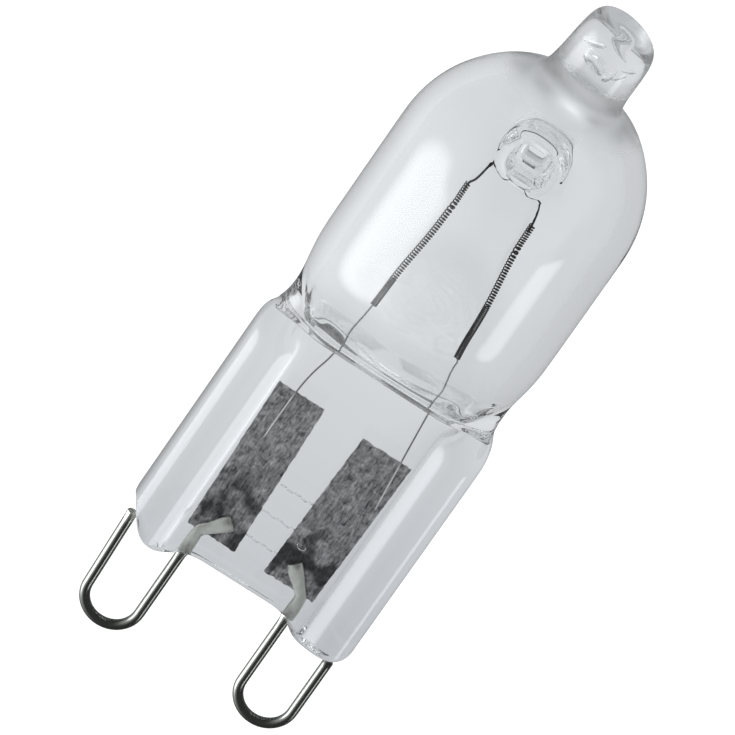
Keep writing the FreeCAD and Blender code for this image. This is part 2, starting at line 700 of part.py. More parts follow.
pieces = [envelope, foil_left, foil_right, loop_left, loop_right, lead_left, lead_right, filament]
for feature in doc.Objects:
    if "Invalid" in feature.State or "Error" in feature.State:
        raise RuntimeError(f"{feature.Name} did not build")
for piece in pieces:
    shape = piece.Shape
    if shape.isNull() or not shape.isValid() or len(shape.Solids) != 1:
        raise RuntimeError(f"{piece.Name} is not one sound solid")

os.makedirs("parts", exist_ok=True)
for piece in pieces:
    piece.Shape.exportStep(f"parts/{piece.Name}.step")
    print(piece.Label, round(piece.Shape.Volume, 3), "cubic millimetres")
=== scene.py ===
# %% [markdown]
# # A halogen capsule bulb
# A small clear quartz bulb: a round body with a domed end and a melted-off tip, flattened at its foot into a
# pinch seal. Two grey metal foils carry the current through the seal, two wire loops stand out below it,
# and a coiled filament hangs inside over a post of glass. The solid model is loaded first and is never moved:
# the smooth glass, the coiled wire and the crumpled foil are modelled around it, in the same frame and in
# metres.

import math

import bmesh
import bpy
from mathutils import Matrix, Vector, noise


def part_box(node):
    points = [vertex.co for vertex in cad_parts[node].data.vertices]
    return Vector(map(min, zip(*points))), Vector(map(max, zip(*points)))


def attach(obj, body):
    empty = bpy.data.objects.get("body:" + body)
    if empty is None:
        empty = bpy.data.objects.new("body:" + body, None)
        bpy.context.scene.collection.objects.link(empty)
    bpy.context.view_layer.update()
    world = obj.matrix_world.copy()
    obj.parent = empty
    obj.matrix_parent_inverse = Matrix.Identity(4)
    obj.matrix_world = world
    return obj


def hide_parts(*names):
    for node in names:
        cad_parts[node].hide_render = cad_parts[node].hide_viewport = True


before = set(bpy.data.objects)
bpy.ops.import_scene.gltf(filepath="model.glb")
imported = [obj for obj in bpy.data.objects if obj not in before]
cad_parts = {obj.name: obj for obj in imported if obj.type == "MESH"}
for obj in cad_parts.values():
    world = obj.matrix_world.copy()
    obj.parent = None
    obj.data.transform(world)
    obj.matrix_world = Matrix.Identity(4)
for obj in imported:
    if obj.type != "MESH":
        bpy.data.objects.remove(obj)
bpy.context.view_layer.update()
bpy.ops.object.select_all(action="DESELECT")
MM = 0.001

glass_low, glass_high = (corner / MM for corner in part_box("quartz_envelope"))
BULB_RADIUS = glass_high.y
PINCH_HALF_WIDTH = glass_high.x
print("glass, mm:", [round(v, 2) for v in glass_low], [round(v, 2) for v in glass_high])

# %% [markdown]
# ## Working in rings
# Glass blown and pressed from a tube is best thought of as rings. One circle is added, extruded to the next
# ring, and each ring is laid on the outline that the glass has at that height. Spinning a profile would give
# the round bulb but not the flat pinch, and sculpting would leave ripples that clear glass shows at once.
# A Subdivision Surface then runs smoothly through the rings.

# %% Helpers for rings
RING = 48
QUARTER = RING // 4


def start_ring(name, count, point_of):
    """Adds a circle as a new piece, stays in edit mode and lays the circle on its first outline."""
    bpy.ops.object.select_all(action="DESELECT")
    bpy.ops.mesh.primitive_circle_add(vertices=count, radius=MM)
    piece = bpy.context.object
    piece.name = name
    bpy.ops.object.mode_set(mode="EDIT")
    bpy.ops.mesh.select_all(action="SELECT")
    mesh = bmesh.from_edit_mesh(piece.data)
    turn = mesh.verts.layers.int.new("turn")
    for vert in mesh.verts:
        angle = math.atan2(vert.co.y, vert.co.x) % math.tau
        vert[turn] = round(angle / math.tau * count) % count
    lay_ring(point_of)
    return piece


def lay_ring(point_of):
    """Moves each selected vertex to its place, in millimetres, worked out from its number in the ring."""
    data = bpy.context.object.data
    mesh = bmesh.from_edit_mesh(data)
    turn = mesh.verts.layers.int["turn"]
    for vert in mesh.verts:
        if vert.select:
            vert.co = Vector(point_of(vert[turn])) * MM
    bmesh.update_edit_mesh(data)


def next_ring(point_of):
    """Extrudes the selected ring and lays the new one."""
    bpy.ops.mesh.extrude_region_move()
    lay_ring(point_of)


def finish_mesh(piece, levels=0):
    """Merges doubles, turns every face outwards, smooths, and leaves edit mode."""
    bpy.ops.mesh.select_all(action="SELECT")
    bpy.ops.mesh.remove_doubles(threshold=0.0005 * MM)
    bpy.ops.mesh.normals_make_consistent(inside=False)
    bpy.ops.object.mode_set(mode="OBJECT")
    if levels:
        smooth = piece.modifiers.new("smooth", "SUBSURF")
        smooth.levels = levels
        smooth.render_levels = levels
        bpy.ops.object.modifier_apply(modifier=smooth.name)
    bpy.ops.object.shade_smooth()
    print(piece.name, "faces:", len(piece.data.polygons))


def blend(a, b, share):
    return a + (b - a) * share


def ease(low, high, value):
    """Goes smoothly from 0 at the low value to 1 at the high one."""
    share = min(max((value - low) / (high - low), 0.0), 1.0)
    return share * share * (3 - 2 * share)


def along(points, value):
    """Reads a line of (place, value) points at a place between them."""
    for (low, first), (high, last) in zip(points, points[1:]):
        if value <= high:
            return blend(first, last, max(value - low, 0.0) / (high - low))
    return points[-1][1]


print("vertices in a ring:", RING, "and in a quarter:", QUARTER)

# %% [markdown]
# ## The outside of the quartz
# The jaws that close a bulb like this press a thin panel between two thicker rails, so the section of the
# pinch is a flat bar with a rounded bead at each end. Above the jaws the glass opens quickly into the round
# bulb. Each ring of the neck is a blend of those two outlines, because a single sweep cannot change from one
# to the other.

# %% Section of the pinch
# The foot of the pinch, read across it: a slanting cut on the left, a round corner on the right.
FOOT_LINE = [
    (-6.63, 2.10), (-6.30, 1.55), (-6.07, 1.05), (-5.40, 0.18), (-4.76, 0.00), (-4.30, 0.18), (-2.95, 0.98),
    (2.55, 1.04), (3.20, 0.86), (4.20, 0.10), (5.40, 0.00), (6.07, 0.10), (6.52, 0.60), (6.63, 1.20),
]
# The front of the foot is sheared off a little higher than the back.
FOOT_SHEAR = 0.45
# One quarter of the section of the pinch, from the outer side of a rail to the middle of the panel.
PINCH_QUARTER = [
    (1.000, 0.00), (1.000, 0.80), (0.983, 1.42), (0.915, 1.87), (0.815, 2.02), (0.718, 1.88),
    (0.648, 1.52), (0.583, 1.31), (0.485, 1.30), (0.372, 1.30), (0.252, 1.30), (0.126, 1.30), (0.000, 1.30),
]


def quarter_of(turn):
    """The number of a vertex within its quarter, with the signs that carry it to its own quarter."""
    side = 1 if turn <= QUARTER or turn >= 3 * QUARTER else -1
    back = 1 if turn <= 2 * QUARTER else -1
    step = turn % (2 * QUARTER)
    return min(step, 2 * QUARTER - step), side, back


def pinch_point(turn, height, shrink=0.0):
    """A point of the pinch's section; shrink pulls it in, for the rounded foot."""
    step, side, back = quarter_of(turn)
    across, depth = PINCH_QUARTER[step]
    x = side * (across * PINCH_HALF_WIDTH - shrink * across)
    return x, back * max(depth - shrink, 0.0), height


def foot_point(rise, shrink):
    """A ring that follows the foot of the pinch at a height above it."""
    def point_of(turn):
        x, y, _ = pinch_point(turn, 0.0, shrink)
        full_x = pinch_point(turn, 0.0)[0]
        return x, y, along(FOOT_LINE, full_x) + rise + FOOT_SHEAR * max(-y, 0.0)
    return point_of


print("pinch, mm:", round(2 * PINCH_HALF_WIDTH, 2), "wide, panel", 2 * PINCH_QUARTER[-1][1], "deep")

# %% Neck, dome and tip
# The rails fade out between the first two heights, and the panel opens between the other two.
RAIL_FADE = (13.70, 15.25)
NECK_OPENING = (15.05, 17.45)
# Half width and half depth of the neck by height, with a ledge where the jaws ended.
NECK_WIDTH = [
    (13.6, 6.63), (14.3, 6.58), (14.8, 6.36), (15.3, 6.12), (16.0, 6.03), (16.8, 6.03), (17.6, 6.14),
    (18.4, 6.30), (19.4, 6.39), (20.4, 6.40),
]
NECK_DEPTH = [
    (14.70, 1.30), (14.86, 1.25), (14.98, 1.27), (15.03, 1.33), (15.07, 1.52), (15.11, 1.80), (15.18, 1.92),
    (15.5, 2.06), (15.8, 2.30), (16.6, 3.22), (17.4, 4.22), (18.2, 5.10), (19.0, 5.78), (19.8, 6.20),
    (20.8, 6.40),
]
# The side of the flat outline rises over so many steps, and with so round a shoulder.
SIDE_STEPS = 7
SHOULDER = 0.6
DOME_CENTRE = 27.00
TIP_TOP = glass_high.z - 0.08
TIP_LEAN = math.radians(4.0)
TIP_SKEW = math.radians(9.0)


def neck_point(height):
    """Between the flat pinch and the round bulb: the rails fade first, then the panel opens."""
    rail = 1 - ease(*RAIL_FADE, height)
    half_width = along(NECK_WIDTH, height)
    half_depth = along(NECK_DEPTH, height)
    roundness = ease(*NECK_OPENING, height)

    def point_of(turn):
        step, side, back = quarter_of(turn)
        angle = step / QUARTER * math.pi / 2
        round_x = half_width * math.cos(angle)
        round_y = half_depth * math.sin(angle)
        across, depth = PINCH_QUARTER[step]
        flat_x = across * half_width
        flat_y = half_depth * min(1.0, (step / SIDE_STEPS) ** SHOULDER)
        rail_y = blend(flat_y, depth, rail)
        return (side * blend(flat_x, round_x, roundness), back * blend(rail_y, round_y, roundness), height)
    return point_of


def round_point(radius, height, lean=0.0, skew=0.0):
    """A round ring; lean moves its centre across and skew tilts it down to the right."""
    def point_of(turn):
        angle = turn / RING * math.tau
        x = radius * math.cos(angle)
        return x + lean, radius * math.sin(angle), height - x * math.tan(skew)
    return point_of


def dome_radius(radius, height):
    return math.sqrt(max(radius**2 - max(height - DOME_CENTRE, 0.0) ** 2, 0.0))


def tip_point(radius, height, skew_share):
    lean = math.tan(TIP_LEAN) * (height - DOME_CENTRE - BULB_RADIUS)
    return round_point(radius, height, lean, TIP_SKEW * skew_share)


print("tip, mm:", round(TIP_TOP - DOME_CENTRE - BULB_RADIUS, 2), "above the dome")

# %% Draw up the outside
# The rings at the foot: rise above its line, and inset. Then the heights of the rings up to the dome.
FOOT_RINGS = [(0.0, 0.80), (0.0, 0.24), (0.02, 0.08), (0.10, 0.0), (0.30, 0.0)]
PINCH_ROWS = [2.9, 4.6, 6.3, 8.0, 9.7, 11.4, 12.8]
NECK_ROWS = [
    13.6, 14.2, 14.65, 14.86, 14.98, 15.03, 15.07, 15.11, 15.18, 15.5, 15.8, 16.4, 17.2, 18.0, 18.8, 19.6,
]
BULB_ROWS = [20.6, 21.8, 23.0, 24.2, 25.4]
POST_HEIGHT = 28.95
ROW_GAP = 0.80
DIMPLE_ROWS = [POST_HEIGHT + ROW_GAP * step for step in (-3, -2, -1, 0, 1, 2, 3)]
DOME_ROWS = [31.9, 32.35]
# The rings of the tip: radius, height from its top, and share of the skew.
TIP_RINGS = [
    (2.70, -4.58, 0.0), (2.32, -4.25, 0.0), (2.14, -3.80, 0.1), (2.05, -3.0, 0.3), (2.02, -2.2, 0.6),
    (1.97, -1.4, 0.9), (1.88, -0.75, 1.0), (1.68, -0.34, 1.0), (1.28, -0.12, 1.0), (0.7, -0.06, 1.0),
]
outside = start_ring("quartz_outside", RING, foot_point(*FOOT_RINGS[0]))
for rise, inset in FOOT_RINGS[1:]:
    next_ring(foot_point(rise, inset))
for height in PINCH_ROWS:
    next_ring(lambda turn, height=height: pinch_point(turn, height))
for height in NECK_ROWS:
    next_ring(neck_point(height))
for height in BULB_ROWS + DIMPLE_ROWS + DOME_ROWS:
    next_ring(round_point(dome_radius(BULB_RADIUS, height), height))
for radius, from_top, skew_share in TIP_RINGS:
    next_ring(tip_point(radius, TIP_TOP + from_top, skew_share))
bpy.ops.mesh.edge_face_add()
print("vertices outside:", len(bmesh.from_edit_mesh(outside.data).verts))

# %% [markdown]
# ## The foot of the pinch
# The jaws shear the soft glass off, so the foot is a narrow, nearly flat band. Filling its open ring with one
# face would pinch the smoothing, so front and back are bridged in strips, and only the two ends get a face.

# %% Close the foot of the pinch
FOOT_REACH = 4.0


def select_edges(test):
    """Selects the edges of the open piece whose two ends pass a test, and nothing else."""
    data = bpy.context.object.data
    bpy.ops.mesh.select_mode(type="EDGE")
    bpy.ops.mesh.select_all(action="DESELECT")
    mesh = bmesh.from_edit_mesh(data)
    for edge in mesh.edges:
        edge.select_set(test(edge))
    mesh.select_flush_mode()
    bmesh.update_edit_mesh(data)


turn_layer = bmesh.from_edit_mesh(outside.data).verts.layers.int["turn"]


def is_foot(edge):
    return edge.is_boundary and edge.verts[0].co.z < FOOT_REACH * MM


def end_of(edge):
    """1 or -1 where an edge meets the outermost point of the right or left rail, and 0 elsewhere."""
    turns = [vert[turn_layer] for vert in edge.verts]
    return (0 in turns) - (RING // 2 in turns)


select_edges(lambda edge: is_foot(edge) and end_of(edge) == 0)
bpy.ops.mesh.bridge_edge_loops()
for side in (-1, 1):
    select_edges(lambda edge: is_foot(edge) and end_of(edge) == side)
    bpy.ops.mesh.edge_face_add()
print("open edges left:", sum(edge.is_boundary for edge in bmesh.from_edit_mesh(outside.data).edges))

# %% [markdown]
# ## The dimples
# Front and back were pressed in while the glass was soft, until the two dimples nearly met on the axis. The
# front one stands higher than the back one, so the post of glass round them slopes. A Boolean would cut a
# sharp rim that clear glass shows at once. Here a patch of faces is deleted, its open edge is laid on a
# rounded square, and that edge is extruded inwards ring by ring.

# %% Helpers for a dimple
PATCH_HALF = 3
# The open edge of one dimple lies further than this from the middle plane.
RIM_DEPTH = 1.5
# The front dimple was pressed higher than the back one, so the post between them slopes down to the back.
DIMPLE_LIFT = 1.60
# It also stands a little to the left, and the back one to the right.
DIMPLE_SHIFT = 0.36
# A dimple follows the round of the glass beyond these shares of its radius.
SKIN_BLEND = (0.55, 0.90)
MOUTH_CORNER, SOFT_CORNER = 2.4, 2.6


def cut_patch(sign, low, high):
    """Deletes the faces under a dimple, numbers the open edge that is left and returns its count."""
    middle_height = (low + high) / 2 * MM
    data = bpy.context.object.data
    bpy.ops.mesh.select_mode(type="FACE")
    bpy.ops.mesh.select_all(action="DESELECT")
    mesh = bmesh.from_edit_mesh(data)
    for face in mesh.faces:
        middle = face.calc_center_median() / MM
        angle = math.degrees(math.atan2(abs(middle.x), sign * middle.y))
        inside = angle < PATCH_HALF * 360 / RING and low < middle.z < high
        face.select_set(inside)
    bmesh.update_edit_mesh(data)
    bpy.ops.mesh.delete(type="FACE")
    select_edges(lambda edge: edge.is_boundary and all(sign * v.co.y > RIM_DEPTH * MM for v in edge.verts))
    mesh = bmesh.from_edit_mesh(data)
    turn = mesh.verts.layers.int["turn"]
    rim = [vert for vert in mesh.verts if vert.select]
    for vert in rim:
        angle = math.atan2(vert.co.z - middle_height, vert.co.x) % math.tau
        vert[turn] = round(angle * 1000)
    for number, vert in enumerate(sorted(rim, key=lambda v: v[turn])):
        vert[turn] = number
    first = min(rim, key=lambda v: abs(v.co.z - middle_height) - v.co.x)[turn]
    for vert in rim:
        vert[turn] = (vert[turn] - first) % len(rim)
    bmesh.update_edit_mesh(data)
    return len(rim)


def rounded(angle, half_width, half_height, squareness):
    """A point on a rounded box: squareness 2 is an ellipse, and more is squarer."""
    c, s = math.cos(angle), math.sin(angle)
    reach = (abs(c) ** squareness + abs(s) ** squareness) ** (-1 / squareness)
    return half_width * reach * c, half_height * reach * s


def corner_at(depth, near, far, added):
    """The squareness of a dimple at a distance from the axis: soft by the mouth and squarer within."""
    return SOFT_CORNER + added * (1 - ease(near, far, depth))


def dimple_middle(sign, depth):
    """The middle of a dimple, as across and height, at a distance from the bulb's axis."""
    share = sign * depth / BULB_RADIUS
    return DIMPLE_SHIFT * share, POST_HEIGHT - DIMPLE_LIFT * share


def dimple_point(count, sign, shell_radius, step, squareness):
    """A ring of a dimple: flat in the depth, and following the round of the glass near the mouth."""
    depth, half_width, half_height = step
    middle_x, middle_z = dimple_middle(sign, depth)

    def point_of(turn):
        x, z = rounded(turn / count * math.tau, half_width, half_height, squareness)
        x, height = middle_x + x, middle_z + z
        share = depth / shell_radius
        skin = share * math.sqrt(dome_radius(shell_radius, height) ** 2 - x**2)
        return x, sign * blend(depth, skin, ease(*SKIN_BLEND, share)), height
    return point_of


def mouth_point(count, sign, shell_radius, half_width, half_height):
    """The mouth of a dimple lies on the round of the glass."""
    middle_x, middle_z = dimple_middle(sign, shell_radius)

    def point_of(turn):
        x, z = rounded(turn / count * math.tau, half_width, half_height, MOUTH_CORNER)
        x, height = middle_x + x, middle_z + z
        return x, sign * math.sqrt(dome_radius(shell_radius, height) ** 2 - x**2), height
    return point_of


print("slope of the post, degrees:", round(math.degrees(math.atan2(DIMPLE_LIFT, BULB_RADIUS)), 1))

# %% Press in the dimples
# Half width and half height at the mouth, then each step: distance from the axis, half width, half height.
DIMPLE_MOUTH = (1.70, 1.36)
DIMPLE_STEPS = [
    (6.30, 1.54, 1.22), (6.05, 1.35, 1.06), (5.40, 1.17, 0.91), (3.80, 1.05, 0.81), (2.40, 1.01, 0.77),
    (1.40, 1.00, 0.76), (0.80, 0.98, 0.74), (0.50, 0.84, 0.62), (0.38, 0.55, 0.38),
]
DIMPLE_CORNER = (4.0, 6.0, 1.8)
for sign, low, high in ((-1, DIMPLE_ROWS[2], DOME_ROWS[1]), (1, BULB_ROWS[3], DIMPLE_ROWS[4])):
    count = cut_patch(sign, low, high)
    lay_ring(mouth_point(count, sign, BULB_RADIUS, *DIMPLE_MOUTH))
    for step in DIMPLE_STEPS:
        next_ring(dimple_point(count, sign, BULB_RADIUS, step, corner_at(step[0], *DIMPLE_CORNER)))
    bpy.ops.mesh.fill_grid(span=count // 4)
SMOOTHING = 2
finish_mesh(outside, SMOOTHING)

# %% [markdown]
# ## The gas space
# Inside, the same bulb less its wall ends below in a narrow slot, where the jaws closed the tube, with a
# groove just above it. A Solidify modifier would give an even wall but no slot. So the gas space is modelled
# as a second skin and then turned inside out, and the glass lies between the two skins.

# %% Inside of the glass
WALL = 1.00
GAS_RADIUS = BULB_RADIUS - WALL
GAS_FLOOR = 14.74
# Each ring of the slot and neck: height, half width, half depth, squareness, and how much of that depth is
# left in the middle, where the jaws pressed hardest and left a pocket at each end.
GAS_RINGS = [
    (GAS_FLOOR, 3.30, 0.10, 3.0, 0.5), (14.78, 3.60, 0.24, 3.0, 0.5), (14.95, 3.84, 0.36, 3.0, 0.5),
    (15.15, 3.96, 0.44, 3.0, 0.6), (15.22, 4.02, 0.58, 3.0, 0.7), (15.25, 4.08, 0.90, 3.0, 0.9),
    (15.27, 4.17, 1.05, 2.8, 1.0), (15.31, 4.28, 1.10, 2.8, 1.0), (15.36, 4.36, 1.22, 2.8, 1.0),
    (15.43, 4.40, 1.27, 2.8, 1.0), (15.51, 4.40, 1.21, 2.7, 1.0), (15.57, 4.42, 1.15, 2.6, 1.0),
    (15.70, 4.54, 1.26, 2.4, 1.0), (15.9, 4.68, 1.46, 2.4, 1.0),
    (16.5, 4.90, 2.06, 2.2, 1.0), (17.2, 5.08, 2.88, 2.1, 1.0), (18.0, 5.24, 3.80, 2.0, 1.0),
    (18.8, 5.33, 4.56, 2.0, 1.0), (19.6, 5.38, 5.08, 2.0, 1.0), (20.5, 5.40, 5.36, 2.0, 1.0),
]
# The pockets begin and end at these distances from the axis.
POCKET = (1.9, 3.0)
GAS_DOME_ROWS = [31.2, 31.8]
# The dome closes smoothly under the tip: radius, height.
DOME_TOP_RINGS = [(1.95, 32.03), (1.30, 32.24), (0.80, 32.36), (0.40, 32.42)]


def gas_point(height, half_width, half_depth, squareness, middle):
    def point_of(turn):
        x, y = rounded(turn / RING * math.tau, half_width, half_depth, squareness)
        return x, y * blend(middle, 1.0, ease(*POCKET, abs(x))), height
    return point_of


inside = start_ring("quartz_inside", RING, gas_point(*GAS_RINGS[0]))
bpy.ops.mesh.edge_face_add()
for ring in GAS_RINGS[1:]:
    next_ring(gas_point(*ring))
for height in BULB_ROWS[1:] + DIMPLE_ROWS[:-1] + GAS_DOME_ROWS:
    next_ring(round_point(dome_radius(GAS_RADIUS, height), height))
for radius, height in DOME_TOP_RINGS:
    next_ring(round_point(radius, height))
bpy.ops.mesh.edge_face_add()
print("vertices inside:", len(bmesh.from_edit_mesh(inside.data).verts))

# %% [markdown]
# ## The post
# From inside, the two dimples are one post of glass that runs from the front wall to the back one. A patch is
# cut in each wall of the inner skin. The front one is extruded right through the gas space and bridged to the
# back one, so the skin stays closed and of one piece.

# %% Run the post across the gas space
# Half width and half height at the wall, then each step: distance from the axis, half width, half height.
POST_MOUTH = (1.66, 1.34)
POST_STEPS = [
    (5.28, 1.60, 1.22), (5.00, 1.52, 1.14), (4.40, 1.48, 1.10), (3.40, 1.46, 1.09), (2.20, 1.45, 1.09),
    (1.45, 1.43, 1.10), (1.12, 1.39, 1.13), (0.90, 1.34, 1.165), (0.45, 1.30, 1.175), (0.0, 1.30, 1.175),
]
POST_CORNER = (3.4, 5.0, 1.9)
for sign, low, high in ((1, BULB_ROWS[4], DIMPLE_ROWS[4]), (-1, DIMPLE_ROWS[2], GAS_DOME_ROWS[1])):
    count = cut_patch(sign, low, high)
    lay_ring(mouth_point(count, sign, GAS_RADIUS, *POST_MOUTH))
for sign, steps in ((-1, POST_STEPS), (1, POST_STEPS[-2::-1])):
    for step in steps:
        next_ring(dimple_point(count, sign, GAS_RADIUS, step, corner_at(step[0], *POST_CORNER)))
select_edges(lambda edge: edge.is_boundary)
bpy.ops.mesh.bridge_edge_loops()
finish_mesh(inside, SMOOTHING)

# %% [markdown]
# ## Bubbles
# The exhaust tube was melted off above the dome, which leaves a few drawn-out bubbles in the tip. The jaws
# leave a blister and three hairlines in the pinch. Each is a stretched ball, made uneven by a noise and added
# to the inner skin, because a bubble too is a hollow whose skin faces inwards.

# %% Bubbles, and one piece of glass
# Each bubble: centre, half sizes, slant to the right in degrees.
TIP_BUBBLES = [
    ((-0.20, -0.55, 35.00), (0.56, 0.52, 0.38), 24), ((0.55, -0.30, 34.75), (0.12, 0.10, 0.46), 14),
    ((0.86, -0.25, 34.95), (0.10, 0.09, 0.40), 30), ((1.02, -0.10, 35.35), (0.09, 0.08, 0.30), 62),
    ((-0.45, 0.25, 35.45), (0.42, 0.30, 0.14), -24), ((0.25, 0.35, 35.75), (0.55, 0.16, 0.10), 28),
]
# A blister in front of the right foil, and three hairlines that the jaws pressed between the foils.
PINCH_BUBBLES = [((1.60, -0.32, 4.86), (0.26, 0.15, 0.21), 0)]
HAIRLINE_HEIGHTS = (3.70, 5.30, 7.00)
HAIRLINE_HALF_SIZES = (0.19, 0.07, 0.065)
for height in HAIRLINE_HEIGHTS:
    for step in range(5):
        centre = (-0.80 + 0.40 * step, 0.0, height + 0.03 * (-1) ** step)
        PINCH_BUBBLES.append((centre, HAIRLINE_HALF_SIZES, 3 * step - 6))
# Each bubble swells and shrinks by this share, in waves of about this many to its radius.
LUMP, LUMP_WAVES = 0.25, 1.3


def add_bubble(centre, half_sizes, slant):
    """Adds a drawn-out bubble to the skin that is open in edit mode."""
    bpy.ops.mesh.select_all(action="DESELECT")
    bpy.ops.mesh.primitive_ico_sphere_add(subdivisions=3, radius=MM, location=(0, 0, 0))
    turn = Matrix.Rotation(math.radians(slant), 3, "Y")
    mesh = bmesh.from_edit_mesh(bpy.context.object.data)
    for vert in mesh.verts:
        if vert.select:
            ball = vert.co / MM
            lump = 1 + LUMP * noise.noise(ball * LUMP_WAVES + Vector(centre))
            stretched = Vector([b * half * lump for b, half in zip(ball, half_sizes)])
            vert.co = (turn @ stretched + Vector(centre)) * MM
    bmesh.update_edit_mesh(bpy.context.object.data)


def keep(piece, node):
    """Ties a finished piece to the root body and hides the solid that it stands for."""
    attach(piece, "root")
    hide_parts(node)
    print(piece.name, "faces:", len(piece.data.polygons))
    return piece


bpy.ops.object.mode_set(mode="EDIT")
for bubble in TIP_BUBBLES + PINCH_BUBBLES:
    add_bubble(*bubble)
bpy.ops.mesh.select_all(action="SELECT")
bpy.ops.mesh.normals_make_consistent(inside=True)
bpy.ops.object.mode_set(mode="OBJECT")
bpy.ops.object.shade_smooth()
bpy.ops.object.select_all(action="DESELECT")
inside.select_set(True)
outside.select_set(True)
bpy.context.view_layer.objects.active = outside
bpy.ops.object.join()
outside.name = "quartz_glass"
glass = keep(outside, "quartz_envelope")
print("glass triangles:", sum(len(face.vertices) - 2 for face in glass.data.polygons))

# %% [markdown]
# ## The wire loops
# Each contact is one nickel-coloured wire bent into a U. Its outer end is free, and its inner end is
# flattened, bent inward and welded to the foil before the glass is pressed round it. A curve with a bevel
# could draw the U, but not the flattened end, so a circle is extruded along the wire and spun round the
# bends, and the last rings are squeezed flat.

# %% Bend the loops
LOOP_SPACING = 9.00
LOOP_WIDTH = 2.95
WIRE_RADIUS = 0.275
WIRE_SIDES = 24
# The free end is chamfered to this share of the radius, over this length.
CHAMFER, CHAMFER_LENGTH = 0.85, 0.05
PANEL_FOOT = 1.00
# The wire begins to flatten so far below the foot of the panel, and is flat after that length.
PRESS_BELOW, PRESS_LENGTH = 0.25, 0.30
TAB_HALF_WIDTH, TAB_HALF_DEPTH = 0.33, 0.16
TAB_KNEE = 2.30
TAB_BEND = 0.60
TAB_ANGLE = math.radians(42)
TAB_REACH = 1.55
# The tab beyond its bend: share of the reach, and width against the ring before.
TAB_SHAPE = [(0.25, 1.02), (0.25, 1.08), (0.25, 1.10), (0.21, 1.02), (0.04, 0.86)]
# Depth of the dents that the press left in the tab, dents in a millimetre, and a shift for each axis.
DENT, DENT_WAVES, DENT_SHIFTS = 0.07, 1.7, (0.0, 31.4, 57.2)
FREE_END = {"loop_left": 1.32, "loop_right": 0.21}
FREE_LEAN = {"loop_left": -0.17, "loop_right": 0.0}


def ring_centre():
    """The middle of the selected ring, in metres."""
    mesh = bmesh.from_edit_mesh(bpy.context.object.data)
    places = [vert.co for vert in mesh.verts if vert.select]
    return sum(places, Vector()) / len(places)


def extrude(x, z):
    bpy.ops.mesh.extrude_region_move(TRANSFORM_OT_translate={"value": (x * MM, 0, z * MM)})


def resize(across, deep):
    bpy.ops.transform.resize(value=(across, deep, across), center_override=ring_centre())


def bend_loop(name, side):
    """Bends one loop from its free end, down and round the U, up to the flattened tab."""
    low, high = (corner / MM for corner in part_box(name))
    y = (low.y + high.y) / 2
    outer = side * (LOOP_SPACING + LOOP_WIDTH) / 2
    inner = side * (LOOP_SPACING - LOOP_WIDTH) / 2
    bend_height = low.z + WIRE_RADIUS + LOOP_WIDTH / 2
    bpy.ops.object.select_all(action="DESELECT")
    start = ((outer + FREE_LEAN[name]) * MM, y * MM, FREE_END[name] * MM)
    bpy.ops.mesh.primitive_circle_add(
        vertices=WIRE_SIDES, radius=CHAMFER * WIRE_RADIUS * MM, fill_type="NGON", location=start)
    piece = bpy.context.object
    piece.name = f"wire_{name}"
    bpy.ops.object.transform_apply(location=True)
    bpy.ops.object.mode_set(mode="EDIT")
    bpy.ops.mesh.select_mode(type="EDGE")
    bpy.ops.mesh.select_all(action="SELECT")
    bpy.ops.mesh.extrude_edges_move(TRANSFORM_OT_translate={"value": (0, 0, -CHAMFER_LENGTH * MM)})
    resize(1 / CHAMFER, 1 / CHAMFER)
    for share in (0.1, 0.5, 0.4):
        extrude(-share * FREE_LEAN[name], share * (bend_height - FREE_END[name] + CHAMFER_LENGTH))
    hub = (side * LOOP_SPACING / 2 * MM, y * MM, bend_height * MM)
    bpy.ops.mesh.spin(steps=24, angle=-side * math.pi, center=hub, axis=(0, 1, 0))
    for share in (0.45, 0.45, 0.10):
        extrude(0, share * (PANEL_FOOT - PRESS_BELOW - bend_height))
    extrude(0, PRESS_LENGTH)
    resize(TAB_HALF_WIDTH / WIRE_RADIUS, TAB_HALF_DEPTH / WIRE_RADIUS)
    extrude(0, (TAB_KNEE - PANEL_FOOT) / 2)
    extrude(0, (TAB_KNEE - PANEL_FOOT) / 2 - (PRESS_LENGTH - PRESS_BELOW))
    knee = ((inner - side * TAB_BEND) * MM, y * MM, TAB_KNEE * MM)
    bpy.ops.mesh.spin(steps=6, angle=side * TAB_ANGLE, center=knee, axis=(0, 1, 0))
    for share, width in TAB_SHAPE:
        extrude(-side * share * TAB_REACH * math.sin(TAB_ANGLE), share * TAB_REACH * math.cos(TAB_ANGLE))
        resize(width, width)
    bpy.ops.mesh.edge_face_add()
    bpy.ops.mesh.select_all(action="SELECT")
    bpy.ops.mesh.normals_make_consistent(inside=False)
    bpy.ops.object.mode_set(mode="OBJECT")
    for vert in piece.data.vertices:
        spot = vert.co / MM
        beaten = ease(PANEL_FOOT + 0.3, PANEL_FOOT + 1.2, spot.z)
        dents = [noise.noise(spot * DENT_WAVES + Vector((shift, 0, 0))) for shift in DENT_SHIFTS]
        vert.co += Vector(dents) * DENT * beaten * MM
    bpy.ops.object.shade_smooth_by_angle(angle=math.radians(40))
    return keep(piece, name)


loops = [bend_loop("loop_left", -1), bend_loop("loop_right", 1)]

# %% [markdown]
# ## The sealing foils
# Molybdenum foil a few hundredths of a millimetre thick is etched to a feather edge, so that the quartz can
# wet it. It comes out of the press dull, streaked along its length and crumpled where the tab was welded. A
# grid is laid on the foil's outline and pushed about by two noises, a fine one all over and a coarse one near
# the tab, and Solidify gives the sheet its thickness.

# %% Lay the foils
FOIL_COLUMNS, FOIL_ROWS = 44, 132
FOIL_THICKNESS = 0.05
